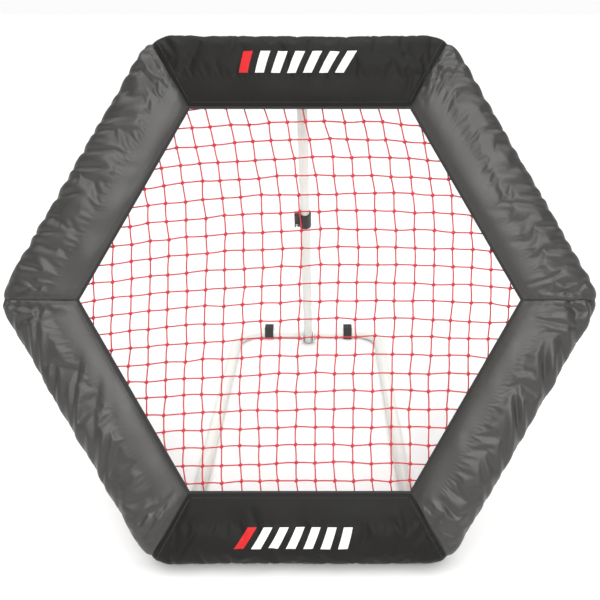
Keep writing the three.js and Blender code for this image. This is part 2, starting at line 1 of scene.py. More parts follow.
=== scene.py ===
"""Looks of a hexagonal ball rebounder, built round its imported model.

A padded hexagon leans back over a U-shaped ground base and is propped by a telescopic strut. New surfaces
are worked out in millimetres on grids, in the hexagon's own plane (x across, y up the slope, z out of the
front), and then put in place in metres.
"""

import json
import math

import bmesh
import bpy
import numpy as np
from mathutils import Matrix


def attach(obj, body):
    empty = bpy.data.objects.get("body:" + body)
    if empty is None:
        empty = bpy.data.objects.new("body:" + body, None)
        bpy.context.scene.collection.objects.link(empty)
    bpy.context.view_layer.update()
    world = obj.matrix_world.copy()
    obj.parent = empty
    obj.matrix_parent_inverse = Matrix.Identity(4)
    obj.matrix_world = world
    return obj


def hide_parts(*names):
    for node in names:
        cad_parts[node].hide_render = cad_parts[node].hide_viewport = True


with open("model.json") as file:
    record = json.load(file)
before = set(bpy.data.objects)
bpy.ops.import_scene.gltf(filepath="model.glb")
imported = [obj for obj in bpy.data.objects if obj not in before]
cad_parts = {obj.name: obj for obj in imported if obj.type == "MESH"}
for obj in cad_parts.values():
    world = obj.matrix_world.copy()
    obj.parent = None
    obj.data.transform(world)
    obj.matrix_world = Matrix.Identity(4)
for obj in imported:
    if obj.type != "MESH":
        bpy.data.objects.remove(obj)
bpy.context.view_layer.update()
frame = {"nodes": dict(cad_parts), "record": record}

MM = 0.001
JOINTS = {joint["name"]: joint for joint in frame["record"]["behaviour"]["joints"]}

# ---- Sizes in millimetres --------------------------------------------------------------------------

TUBE_R = 16.0
FRAME_APOTHEM = 517.0
FRAME_BEND_R = 80.0
LEAN = math.radians(64.2)
HINGE_BACK = TUBE_R + 26.0
TAN30 = math.tan(math.radians(30))
COS30 = math.cos(math.radians(30))
STRAIGHT_HALF = (FRAME_APOTHEM - FRAME_BEND_R) * TAN30
LEG_X = STRAIGHT_HALF - 6.0
BASE_LENGTH = 923.0
BASE_BEND_R = 85.0
LEG_OVERHANG = 10.0

STRUT_R = 14.0
STRUT_FOOT = -12.0
STRUT_OUTER_TOP = 580.0
INNER_R = 12.2
STRUT_OVERLAP = 200.0
EYE_NECK = 26.0

BORDER_APOTHEM = FRAME_APOTHEM - 60.0
BORDER_R = 3.0
LACE_R = 2.0
LACE_PITCH = 72.0
LACE_TURNS = 6
NET_CELL = (39.3, 37.5)
NET_CORD_R = 1.45
PAD_INNER = 399.0
PAD_OUTER = 545.0
FLAP_END = 478.0
BEND_CENTRE = FRAME_APOTHEM - FRAME_BEND_R

HINGE = np.array(JOINTS["frame_tilt"]["pos_m"]) / MM
STRUT_PIVOT = np.array(JOINTS["strut_pivot"]["pos_m"]) / MM
UP_SLOPE = np.array([0.0, math.cos(LEAN), math.sin(LEAN)])
OUT_FRONT = np.array([0.0, -math.sin(LEAN), math.cos(LEAN)])
ACROSS = np.array([1.0, 0.0, 0.0])
NET_CENTRE = HINGE * [0, 1, 1] + HINGE_BACK * OUT_FRONT + FRAME_APOTHEM * UP_SLOPE
TOP_EYE = HINGE * [0, 1, 1] + 2 * FRAME_APOTHEM * UP_SLOPE
STRUT_LENGTH = float(np.linalg.norm(TOP_EYE - STRUT_PIVOT))
STRUT_AXIS = np.array(JOINTS["strut_slide"]["axis"])
STRUT_FRONT = np.cross(ACROSS, STRUT_AXIS)

# Headings in degrees in the hexagon's plane, from x towards y.
SIDES = {
    "top": 90, "upper_left": 150, "lower_left": 210,
    "bottom": 270, "lower_right": 330, "upper_right": 30,
}
CORNERS = {
    "right": 0, "top_right": 60, "top_left": 120,
    "left": 180, "bottom_left": 240, "bottom_right": 300,
}

# ---- Placing ---------------------------------------------------------------------------------------


def on_net(points):
    """Points (x, y, z) of the hexagon's plane, in the model's frame."""
    p = np.asarray(points, float)
    return NET_CENTRE + p[..., :1] * ACROSS + p[..., 1:2] * UP_SLOPE + p[..., 2:3] * OUT_FRONT


def turned(points, heading):
    """Points of one side, whose y points outwards, turned about the hexagon's centre to its heading."""
    p = np.asarray(points, float).copy()
    a = math.radians(heading - 90)
    x, y = p[..., 0].copy(), p[..., 1].copy()
    p[..., 0] = x * math.cos(a) - y * math.sin(a)
    p[..., 1] = x * math.sin(a) + y * math.cos(a)
    return p


def on_side(side):
    """The placing of one side's points: turned to its heading, then put on the hexagon's plane."""
    return lambda points: on_net(turned(points, SIDES[side]))


def on_strut(points):
    """Points (x, y along the strut from its foot pivot, z forwards), in the model's frame."""
    p = np.asarray(points, float)
    return STRUT_PIVOT + p[..., :1] * ACROSS + p[..., 1:2] * STRUT_AXIS + p[..., 2:3] * STRUT_FRONT


def on_base(points):
    """Points (x, y back from the hinge, z above the base tube's axis), in the model's frame."""
    return np.asarray(points, float) + HINGE * [0, 1, 1]


# ---- Mesh building ---------------------------------------------------------------------------------

SHARP_FROM = math.radians(34)  # an edge that turns by more is a real edge of a faceted piece
WELD = 2e-5  # metres between points that are one


def grid_quads(rows, cols, wrap):
    """Corner numbers of the quads of a rows by cols grid, its columns wrapping round where wrap is true."""
    i, j = np.meshgrid(np.arange(rows - 1), np.arange(cols if wrap else cols - 1), indexing="ij")
    k = (j + 1) % cols
    quads = np.stack([i * cols + j, i * cols + k, (i + 1) * cols + k, (i + 1) * cols + j], -1)
    return quads.reshape(-1, 4)


def grid_uv(u, v):
    """UV of each quad's corners, from u at the rows and v at the columns: one more value than quads."""
    i, j = np.meshgrid(np.arange(len(u) - 1), np.arange(len(v) - 1), indexing="ij")
    corners = [(i, j), (i, j + 1), (i + 1, j + 1), (i + 1, j)]
    return np.stack([np.stack([u[a], v[b]], -1) for a, b in corners], -2).reshape(-1, 4, 2)


def sweep(path, radius, sides=12, normal=(0, 0, 1), closed=False):
    """A round section of that radius carried along a path, its ends capped unless the path is closed."""
    p = np.asarray(path, float)
    n = len(p)
    ahead = np.roll(p, -1, 0) - np.roll(p, 1, 0)
    if not closed:
        ahead[0], ahead[-1] = p[1] - p[0], p[-1] - p[-2]
    ahead /= np.linalg.norm(ahead, axis=1, keepdims=True)
    side = np.cross(np.broadcast_to(np.asarray(normal, float), ahead.shape), ahead)
    side /= np.linalg.norm(side, axis=1, keepdims=True)
    up = np.cross(ahead, side)
    a = np.arange(sides) * 2 * math.pi / sides
    ring = np.cos(a)[None, :, None] * side[:, None] + np.sin(a)[None, :, None] * up[:, None]
    verts = p[:, None] + radius * ring
    if closed:
        verts = np.concatenate([verts, verts[:1]])
    steps = np.linalg.norm(np.diff(verts.mean(1), axis=0), axis=1)
    run = np.concatenate([[0], np.cumsum(steps)]) * MM
    round_uv = np.linspace(0, 2 * math.pi * radius * MM, sides + 1)
    quads = grid_quads(len(verts), sides, True)
    if closed:
        quads = quads % (n * sides)
        verts = verts[:-1]
    caps = [] if closed else [list(range(sides))[::-1], list(range((n - 1) * sides, n * sides))]
    return {"verts": verts.reshape(-1, 3), "quads": quads, "uv": grid_uv(run, round_uv), "caps": caps}


def together(parts):
    """Several parts as one."""
    shift, verts, quads, uvs, caps = 0, [], [], [], []
    for part in parts:
        verts.append(part["verts"])
        quads.append(part["quads"] + shift)
        uvs.append(part["uv"])
        caps += [[k + shift for k in cap] for cap in part["caps"]]
        shift += len(part["verts"])
    return {
        "verts": np.concatenate(verts),
        "quads": np.concatenate(quads),
        "uv": np.concatenate(uvs),
        "caps": caps,
    }


def build(name, part, material, place, body, replaced=()):
    """A part as a Blender object: placed, given its UV map and finish, and riding on its body."""
    mesh = bpy.data.meshes.new(name)
    verts = place(part["verts"]) * MM
    mesh.from_pydata(verts.tolist(), [], part["quads"].tolist() + part["caps"])
    uv = np.zeros((len(mesh.loops), 2), np.float32)
    flat = part["uv"].reshape(-1, 2)
    uv[: len(flat)] = flat
    mesh.uv_layers.new(name="UVMap").data.foreach_set("uv", uv.ravel())
    smooth = np.zeros(len(mesh.polygons), bool)
    smooth[: len(part["quads"])] = True
    mesh.polygons.foreach_set("use_smooth", smooth)
    mesh.materials.append(material)
    obj = bpy.data.objects.new(name, mesh)
    bpy.context.scene.collection.objects.link(obj)
    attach(obj, body)
    if replaced:
        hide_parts(*replaced)
    return obj


def dress(node, slot, body, edge):
    """A copy of a CAD piece, in its slot's finish, with its edges rounded by edge millimetres."""
    mesh = frame["nodes"][node].data.copy()
    mesh.materials.clear()
    mesh.materials.append(FINISHES[slot])
    work = bmesh.new()
    work.from_mesh(mesh)
    bmesh.ops.remove_doubles(work, verts=work.verts, dist=WELD)
    bmesh.ops.dissolve_limit(work, angle_limit=math.radians(1), verts=work.verts, edges=work.edges)
    bmesh.ops.recalc_face_normals(work, faces=work.faces)
    work.to_mesh(mesh)
    work.free()
    mesh.polygons.foreach_set("use_smooth", np.ones(len(mesh.polygons), bool))
    mesh.set_sharp_from_angle(angle=SHARP_FROM)
    obj = bpy.data.objects.new(node + "_dressed", mesh)
    bpy.context.scene.collection.objects.link(obj)
    bevel = obj.modifiers.new("rounded_edges", "BEVEL")
    bevel.width = edge * MM
    bevel.segments = 2
    bevel.limit_method = "ANGLE"
    bevel.angle_limit = SHARP_FROM
    bevel.harden_normals = True
    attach(obj, body)
    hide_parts(node)
    return obj


# ---- Materials -------------------------------------------------------------------------------------

WAVE_UNIT = 2 * math.pi / 20  # a Wave texture's scale for one band a metre

# Printed bars, in metres of the cover's UV map.
BAR_PITCH = 34.0 * MM
BAR_SHARE = 0.55  # of the pitch that is inked
BAR_HEIGHT = 42.0 * MM
BAR_SLANT = 0.45
BAR_COUNT = 7
BAR_MIDDLE = 92.0 * MM


def linear(hex_colour):
    """An sRGB hex colour as linear red, green, blue and alpha."""
    value = [int(hex_colour[k : k + 2], 16) / 255 for k in (1, 3, 5)]
    return [c / 12.92 if c <= 0.04045 else ((c + 0.055) / 1.055) ** 2.4 for c in value] + [1.0]


def add(tree, kind, *values, out=0, **named):
    """Adds a shader node of that kind and gives its output out.

    Values fill its first sockets in use. A named value is a socket's where the name starts with a capital,
    with underscores for spaces, and a setting's otherwise. Another node's output is linked.
    """
    node = tree.nodes.new("ShaderNode" + kind)
    given = []
    for key, value in named.items():
        if key[0].isupper():
            given.append((node.inputs[key.replace("_", " ")], value))
        else:
            setattr(node, key, value)
    given += zip([socket for socket in node.inputs if socket.enabled], values)
    for socket, value in given:
        if isinstance(value, bpy.types.NodeSocket):
            tree.links.new(value, socket)
        else:
            socket.default_value = value
    return node.outputs[out] if node.outputs else node


def new_material(name):
    """An empty material and its node tree."""
    material = bpy.data.materials.new(name)
    material.use_nodes = True
    material.node_tree.nodes.clear()
    return material, material.node_tree


def coated_nylon(name, base, worn, gloss, roughness, printed=False):
    """PU-coated nylon (oxford weave): a satin, slightly mottled cloth with a fine plain weave.

    Its threads are 0.5 mm apart; they are drawn 1.6 mm apart so that they show.
    """
    material, tree = new_material(name)
    uv = add(tree, "TexCoord", out="UV")
    waves = [
        add(
            tree, "TexWave", uv, bands_direction=axis, out="Fac",
            Scale=WAVE_UNIT / (1.6 * MM), Distortion=0.6, Detail=1.0,
        )
        for axis in ("X", "Y")
    ]
    weave = add(tree, "Math", *waves, operation="MULTIPLY")
    mottle = add(tree, "TexNoise", uv, Scale=9.0, Detail=4.0, Roughness=0.6)
    scuff = add(tree, "TexNoise", uv, Scale=60.0, Detail=5.0, Roughness=0.7)
    colour = add(tree, "Mix", mottle, linear(base), linear(worn), data_type="RGBA", out=2)
    if printed:
        colour = printed_bars(tree, uv, colour)
    worn_places = add(tree, "Math", scuff, 0.4, mottle, operation="MULTIPLY_ADD")
    rough = add(
        tree, "MapRange", worn_places,
        From_Min=0.4, From_Max=1.0, To_Min=roughness - 0.06, To_Max=roughness + 0.08,
    )
    crinkle = add(tree, "TexNoise", uv, Scale=38.0, Detail=3.0, Roughness=0.5)
    fine = add(tree, "Bump", Strength=0.12, Distance=0.4 * MM, Height=weave)
    bump = add(tree, "Bump", Strength=0.3, Distance=1.2 * MM, Height=crinkle, Normal=fine)
    surface = add(
        tree, "BsdfPrincipled", Base_Color=colour, Roughness=rough, Normal=bump,
        Specular_IOR_Level=gloss, Sheen_Weight=0.05, Sheen_Roughness=0.4,
    )
    add(tree, "OutputMaterial", Surface=surface)
    return material


def printed_bars(tree, uv, cloth):
    """A plain row of slanting printed bars along the pad, the end one red and the rest white."""
    along, across = add(tree, "SeparateXYZ", uv).node.outputs[:2]
    height = add(tree, "Math", across, BAR_MIDDLE, operation="SUBTRACT")
    slanted = add(tree, "Math", height, -BAR_SLANT, along, operation="MULTIPLY_ADD")
    turns = add(tree, "Math", slanted, 1 / BAR_PITCH, BAR_COUNT / 2, operation="MULTIPLY_ADD")
    from_middle = add(tree, "Math", height, operation="ABSOLUTE")
    tests = [
        add(tree, "Math", add(tree, "Math", turns, operation="FRACT"), BAR_SHARE, operation="LESS_THAN"),
        add(tree, "Math", from_middle, BAR_HEIGHT / 2, operation="LESS_THAN"),
        add(tree, "Math", turns, 0.0, operation="GREATER_THAN"),
        add(tree, "Math", turns, float(BAR_COUNT), operation="LESS_THAN"),
    ]
    mask = tests[0]
    for test in tests[1:]:
        mask = add(tree, "Math", mask, test, operation="MULTIPLY")
    first = add(tree, "Math", turns, 1.0, operation="LESS_THAN")
    ink = add(tree, "Mix", first, linear("#e9e8e6"), linear("#c9282b"), data_type="RGBA", out=2)
    return add(tree, "Mix", mask, cloth, ink, data_type="RGBA", out=2)


def bound_tape():
    """Black polyester binding tape: matt, ribbed across every 1.4 mm."""
    material, tree = new_material("polyester_binding_tape")
    uv = add(tree, "TexCoord", out="UV")
    rib = add(tree, "TexWave", uv, bands_direction="X", out="Fac", Scale=WAVE_UNIT / (1.4 * MM))
    bump = add(tree, "Bump", Strength=0.4, Distance=0.3 * MM, Height=rib)
    black = linear("#19191a")
    surface = add(tree, "BsdfPrincipled", Base_Color=black, Roughness=0.7, Normal=bump, Sheen_Weight=0.2)
    add(tree, "OutputMaterial", Surface=surface)
    return material


def twisted_cord(name, base, dark, lay, roughness):
    """Twisted or braided cord: strands slant round it, one every lay millimetres, with painted shade
    darkening the grooves between them.
    """
    material, tree = new_material(name)
    along, around = add(tree, "SeparateXYZ", add(tree, "TexCoord", out="UV")).node.outputs[:2]
    slanted = add(tree, "Math", around, 0.9, along, operation="MULTIPLY_ADD")
    turn = add(tree, "Math", slanted, 2 * math.pi / (lay * MM), operation="MULTIPLY")
    wave = add(tree, "Math", turn, operation="SINE")
    strand = add(tree, "MapRange", wave, From_Min=-1.0, From_Max=0.4)
    fade = add(tree, "TexNoise", add(tree, "TexCoord", out="Object"), Scale=14.0, Detail=2.0)
    light = add(tree, "Mix", fade, linear(base), linear(dark), data_type="RGBA", out=2)
    # Painted shade: the colour turns to dark in the grooves between the strands; the noise above only varies
    # the tone at random.
    colour = add(tree, "Mix", strand, linear(dark), light, data_type="RGBA", out=2)
    bump = add(tree, "Bump", Strength=0.5, Distance=0.4 * MM, Height=strand)
    surface = add(
        tree, "BsdfPrincipled", Base_Color=colour, Roughness=roughness, Normal=bump, Sheen_Weight=0.1
    )
    add(tree, "OutputMaterial", Surface=surface)
    return material


def powder_coat():
    """White powder coat on steel tube: a glossy skin with a faint orange peel about 2 mm across."""
    material, tree = new_material("powder_coated_steel")
    place = add(tree, "TexCoord", out="Object")
    peel = add(tree, "TexNoise", place, Scale=1 / (2.2 * MM), Detail=1.0)
    cloud = add(tree, "TexNoise", place, Scale=7.0, Detail=3.0)
    colour = add(tree, "Mix", cloud, linear("#efefea"), linear("#e7e7e2"), data_type="RGBA", out=2)
    rough = add(tree, "MapRange", cloud, To_Min=0.26, To_Max=0.36)
    bump = add(tree, "Bump", Strength=0.08, Distance=0.3 * MM, Height=peel)
    surface = add(
        tree, "BsdfPrincipled", Base_Color=colour, Roughness=rough, Normal=bump, Coat_Weight=0.15
    )
    add(tree, "OutputMaterial", Surface=surface)
    return material


def zinc_plate():
    """Bright zinc plating on fasteners: grey metal with faint cloudy crystals about 4 mm across."""
    material, tree = new_material("zinc_plated_steel")
    place = add(tree, "TexCoord", out="Object")
    cloud = add(tree, "TexNoise", place, Scale=1 / (4 * MM), Detail=4.0)
    colour = add(tree, "Mix", cloud, linear("#c6c9cc"), linear("#a5a9ad"), data_type="RGBA", out=2)
    rough = add(tree, "MapRange", cloud, To_Min=0.24, To_Max=0.42)
    surface = add(tree, "BsdfPrincipled", Base_Color=colour, Roughness=rough, Metallic=1.0)
    add(tree, "OutputMaterial", Surface=surface)
    return material


def moulded_black(name, colours, grain, roughness, depth):
    """Moulded black plastic or rubber: spark-eroded pits grain millimetres across, and a little dust."""
    material, tree = new_material(name)
    place = add(tree, "TexCoord", out="Object")
    pits = add(tree, "TexNoise", place, Scale=1 / (grain * MM), Detail=2.0)
    dust = add(tree, "TexNoise", place, Scale=55.0, Detail=4.0)
    shade = add(tree, "Mix", dust, *map(linear, colours), data_type="RGBA", out=2)
    rough = add(tree, "MapRange", dust, To_Min=roughness - 0.06, To_Max=roughness + 0.08)
    bump = add(tree, "Bump", Strength=0.25, Distance=depth * MM, Height=pits)
    surface = add(tree, "BsdfPrincipled", Base_Color=shade, Roughness=rough, Normal=bump)
    add(tree, "OutputMaterial", Surface=surface)
    return material


# The two covers are lit and shaded copies of one cloth: the slanted panels' lighter base colour is painted
# sheen, for the light their weave throws forward.
SHEEN_PAINTED_COVER = coated_nylon("coated_nylon_cover_painted_sheen", "#2c2b29", "#363532", 0.52, 0.38)
# The top and bottom panels are cut across the cloth, which throws less light forward; their darker base
# colour is painted shade standing for that weaker sheen.
SHADE_PAINTED_PRINTED_COVER = coated_nylon("coated_nylon_cover_printed_painted_shade", "#181716", "#1f1e1d", 0.14, 0.5, printed=True)
TAPE = bound_tape()
NET_CORD = twisted_cord("polyethylene_net_cord", "#dd1c34", "#b00f25", 2.6, 0.5)
BORDER_CORD = twisted_cord("polyethylene_border_cord", "#c2182c", "#8f0d1e", 4.5, 0.55)
ELASTIC = twisted_cord("braided_elastic_cord", "#1d1d1e", "#0d0d0d", 1.6, 0.7)
POWDER = powder_coat()
ZINC = zinc_plate()
PLASTIC = moulded_black("moulded_polypropylene", ("#232221", "#2c2b2a"), 0.5, 0.42, 0.15)
RUBBER = moulded_black("moulded_rubber", ("#191919", "#222222"), 0.9, 0.72, 0.3)
THREAD = twisted_cord("polyester_sewing_thread", "#4b4b49", "#2b2b2a", 1.0, 0.6)
FINISHES = {"steel": POWDER, "zinc": ZINC, "plastic": PLASTIC, "rubber": RUBBER}

# ---- Pads ------------------------------------------------------------------------------------------

# Section of a pad in (y, z): the outside from the hem at the net, over the front and round the tube to the
# flap's hem, and the lining back again.
OUTSIDE = [
    (399, 8), (399, 12), (405, 17), (424, 25), (452, 31), (488, 35), (515, 36), (532, 33),
    (542, 24), (545, 9), (545, -9), (542, -20), (534, -25.2), (515, -25.4), (495, -25.4), (478, -25.2),
]
LINING = [
    (478, -23), (500, -22.9), (535, -22.8), (539.5, -18), (539.5, 18),
    (534, 22.3), (500, 22.3), (450, 15), (412, 8),
]
PAD_COLUMNS = 230  # from mitre to mitre
OUTSIDE_ROWS = 92
LINING_ROWS = 26
MITRE_PINCH = 3.5  # how far the mitre's seam pulls the cover in
SLANTED_SLIM = 4.5  # how much closer the cover lies to the slanted tubes
FLAP_WALL = PAD_OUTER - 5.0  # where the flap turns in behind the tube

# Cloth simulation of the covers.
CLOTH_SPARE = -0.012  # share by which the cloth is cut large
SETTLE_STEPS = 12
SETTLE_LIMIT = 3.5

# Seams, by the row and column of the cover's grid that they follow.
STITCH_PITCH = 5.2
STITCH_LENGTH = 3.8
STITCH_SIDES = 6
STITCH_RADII = (0.3, 0.55, 0.6, 0.55, 0.3)
STITCH_RISE = (-0.5, 0.25, 0.45, 0.25, -0.5)
HEM_ROW = 5
HEM_COLUMNS = 10
SEAM_COLUMN = 9
SEAM_END_ROW = 68


def run_along(points):
    """Distance walked along a polyline to each of its points."""
    return np.concatenate([[0], np.cumsum(np.linalg.norm(np.diff(points, axis=0), axis=1))])


def eased(points, count, rounds=3):
    """A polyline with its corners cut in several rounds: count points evenly along it, and their run."""
    p = np.array(points, float)
    for _ in range(rounds):
        quarter, three = 0.75 * p[:-1] + 0.25 * p[1:], 0.25 * p[:-1] + 0.75 * p[1:]
        p = np.concatenate([p[:1], np.stack([quarter, three], 1).reshape(-1, 2), p[-1:]])
    run = run_along(p)
    at = np.linspace(0, run[-1], count)
    return np.stack([np.interp(at, run, p[:, k]) for k in (0, 1)], -1), at


def smoothstep(low, high, value):
    """0 below low, 1 above high, and an S-shaped rise between."""
    t = np.clip((value - low) / (high - low), 0, 1)
    return t * t * (3 - 2 * t)


def half_length(y):
    """Distance along a side from its middle to the mitre, on the curve at distance y from the centre."""
    return np.where(y > BEND_CENTRE, STRAIGHT_HALF + (y - BEND_CENTRE) * math.pi / 6, y * TAN30)


def along_side(share, y):
    """Place in the side's plane of a share (-1 to 1) of the half length, on the rounded hexagon through y."""
    run = share * (half_length(y) - 0.3)
    over = np.clip(np.abs(run) - STRAIGHT_HALF, 0, None) * (y > BEND_CENTRE)
    reach = np.maximum(y - BEND_CENTRE, 1.0)
    bend = over / reach
    x = np.sign(run) * (np.abs(run) - over + reach * np.sin(bend))
    return x, y - reach * (1 - np.cos(bend))


def creases(x, d, segments):
    """Sum of creases: each is a line in (x, d) with a narrow valley along it and a low shoulder beside it."""
    total = np.zeros_like(x)
    for x0, d0, x1, d1, depth, width in segments:
        length = math.hypot(x1 - x0, d1 - d0)
        ux, ud = (x1 - x0) / length, (d1 - d0) / length
        t = ((x - x0) * ux + (d - d0) * ud) / length
        off = (x - x0) * ud - (d - d0) * ux
        taper = smoothstep(0, 0.45, t) * (1 - smoothstep(0.75, 1.12, t))
        valley = np.exp(-((off / width) ** 2))
        shoulder = 0.55 * np.exp(-(((np.abs(off) - 2.1 * width) / (1.5 * width)) ** 2))
        total += depth * taper * (shoulder - valley)
    return total


# How far a fold runs along the side for each millimetre outwards: level on the upper slanted pads, upright
# on the lower ones.
FOLD_LEAN = {
    "upper_left": -0.58, "upper_right": 0.58, "lower_left": -1.45,
    "lower_right": 1.45, "top": 0.35, "bottom": -0.4,
}


def crease_plan(side, rng):
    """The folds of one pad, as (x0, d0, x1, d1, depth, width), with d the run along the section.

    Long soft ones come from the outer edge, small gathers lie close to it, and a fan opens at each mitre.
    A few faint ones cross the front.
    """
    slanted = side not in ("top", "bottom")
    lean = FOLD_LEAN[side]
    plan = []
    x = -275.0
    while x < 275:
        x += rng.uniform(20, 46) if slanted else rng.uniform(45, 95)
        reach = rng.uniform(50, 125) if slanted else rng.uniform(50, 110)
        depth = rng.uniform(1.8, 4.6) if slanted else rng.uniform(0.9, 2.0)
        run = reach * lean * rng.uniform(0.75, 1.25) + rng.uniform(-9, 9)
        plan.append((x - run, 172 - reach, x, 178, depth, rng.uniform(5, 11)))
    x = -285.0
    while x < 285:
        x += rng.uniform(9, 26)
        reach = rng.uniform(18, 42)
        plan.append((x - reach * lean * 0.6, 176 - reach, x, 226, rng.uniform(0.5, 1.5), rng.uniform(2.5, 5)))
    for end in (-1, 1):
        for _ in range(7 if slanted else 5):
            start = rng.uniform(200, 240)
            d = rng.uniform(8, 80)
            outer = start + rng.uniform(10, 80)
            far = d + rng.uniform(50, 110)
            plan.append((end * start, d, end * outer, far, rng.uniform(0.8, 2.2), rng.uniform(4, 9)))
    for _ in range(4):
        x = rng.uniform(-190, 190)
        d = rng.uniform(20, 60)
        reach = rng.uniform(50, 95)
        plan.append((x, d, x + reach * lean, d + reach, rng.uniform(0.5, 1.2), rng.uniform(7, 14)))
    return plan


def swell(x, d, rng):
    """Slow unevenness of the foam: a few waves 90 to 260 mm long in random directions."""
    total = np.zeros_like(x)
    for _ in range(7):
        wave = rng.uniform(90, 260)
        a = rng.uniform(0, math.pi)
        total += np.sin((x * math.cos(a) + d * math.sin(a)) * 2 * math.pi / wave + rng.uniform(0, 6.28))
    return total * 0.42


def flap_share(side, x):
    """How much of the flap is left at x: all of it, but none where a bracket comes through.

    The hinge brackets are so near the mitres that their openings run out to the mitre.
    """
    openings = {"bottom": ((-LEG_X - 24, 55.0), (LEG_X + 24, 55.0)), "top": ((0.0, 22.5),)}.get(side, ())
    left = np.ones_like(x)
    for middle, half in openings:
        left = left * smoothstep(half, half + 7, np.abs(x - middle))
    return left


def settled(verts, quads, caps, pins):
    """Cloth simulation of a pad's cover: pressure from inside swells it, and the cloth is cut a little large,
    so it buckles into soft wrinkles. Pinned points stay, and no point moves over SETTLE_LIMIT."""
    mesh = bpy.data.meshes.new("cover_trial")
    mesh.from_pydata((verts * MM).tolist(), [], quads.tolist() + caps)
    obj = bpy.data.objects.new("cover_trial", mesh)
    bpy.context.scene.collection.objects.link(obj)
    group = obj.vertex_groups.new(name="held")
    for level in np.unique(np.round(pins, 1)):
        group.add(np.flatnonzero(np.round(pins, 1) == level).tolist(), float(level), "REPLACE")
    cloth = obj.modifiers.new("cover_cloth", "CLOTH")
    setting = cloth.settings
    setting.quality = 4
    setting.mass = 0.15
    setting.tension_stiffness = setting.compression_stiffness = 25
    setting.shear_stiffness = 12
    setting.bending_stiffness = 6
    setting.effector_weights.gravity = 0
    setting.use_pressure = True
    setting.uniform_pressure_force = 4
    setting.shrink_min = CLOTH_SPARE
    setting.vertex_group_mass = "held"
    setting.pin_stiffness = 1
    cloth.collision_settings.use_collision = False
    for step in range(1, SETTLE_STEPS + 1):
        bpy.context.scene.frame_set(step)
    shape = obj.evaluated_get(bpy.context.evaluated_depsgraph_get())
    after = np.empty(len(verts) * 3, np.float32)
    shape.data.vertices.foreach_get("co", after)
    bpy.data.objects.remove(obj)
    bpy.data.meshes.remove(mesh)
    bpy.context.scene.frame_set(1)
    moved = after.reshape(-1, 3) / MM - verts
    length = np.maximum(np.linalg.norm(moved, axis=1, keepdims=True), 1e-6)
    return verts + moved * np.minimum(1, SETTLE_LIMIT / length)


def pad_section():
    """A pad's section once round: its points, their run along the cloth, and the run at the flap's hem."""
    outside, run_out = eased(OUTSIDE, OUTSIDE_ROWS)
    lining, run_in = eased(LINING, LINING_ROWS, 2)
    run = np.concatenate([run_out, run_out[-1] + 2 + run_in])
    return np.concatenate([outside, lining]), run, run_out[-1]


def fold_move(side, number, x, d, to_mitre, faces_front):
    """How far the folds move the outside along its normals: little at the hem and behind, in at a mitre."""
    rng = np.random.default_rng(40 + number)
    fold = creases(x, d, crease_plan(side, rng)) + swell(x, d, rng)
    pinch = -MITRE_PINCH * np.exp(-to_mitre / 6.0)
    pucker = 0.35 * np.cos(d * 2 * math.pi / 19 + number) * np.exp(-to_mitre / 18.0)
    rise = smoothstep(0, 26, d) * (1 - 0.75 * smoothstep(245, 268, d))
    return (fold + pucker) * rise * faces_front + pinch * smoothstep(0, 14, d)


def gathered_flap(side, number, x, y, z, y_moved, z_moved):
    """The flap's hem, drawn in by its elastic, which gathers it unevenly, and opened round the brackets."""
    on_flap = (z < -21) & (y < FLAP_WALL)
    to_hem = np.clip((FLAP_WALL - y) / (FLAP_WALL - FLAP_END), 0, 1)
    beat = np.sin(x / 33 + number) + 0.7 * np.sin(x / 71 + 2 * number)
    gather = np.sin(x * 2 * math.pi / 23 + 2.2 * beat) * (0.6 + 0.4 * np.sin(x / 19 + 3 * number))
    drawn_in = FLAP_WALL - (FLAP_WALL - y_moved) * flap_share(side, x) * (1 + 0.02 * gather)
    lifted = z_moved + 1.3 * gather * to_hem**2 - 0.4 * to_hem
    return np.where(on_flap, drawn_in, y_moved), np.where(on_flap, lifted, z_moved)


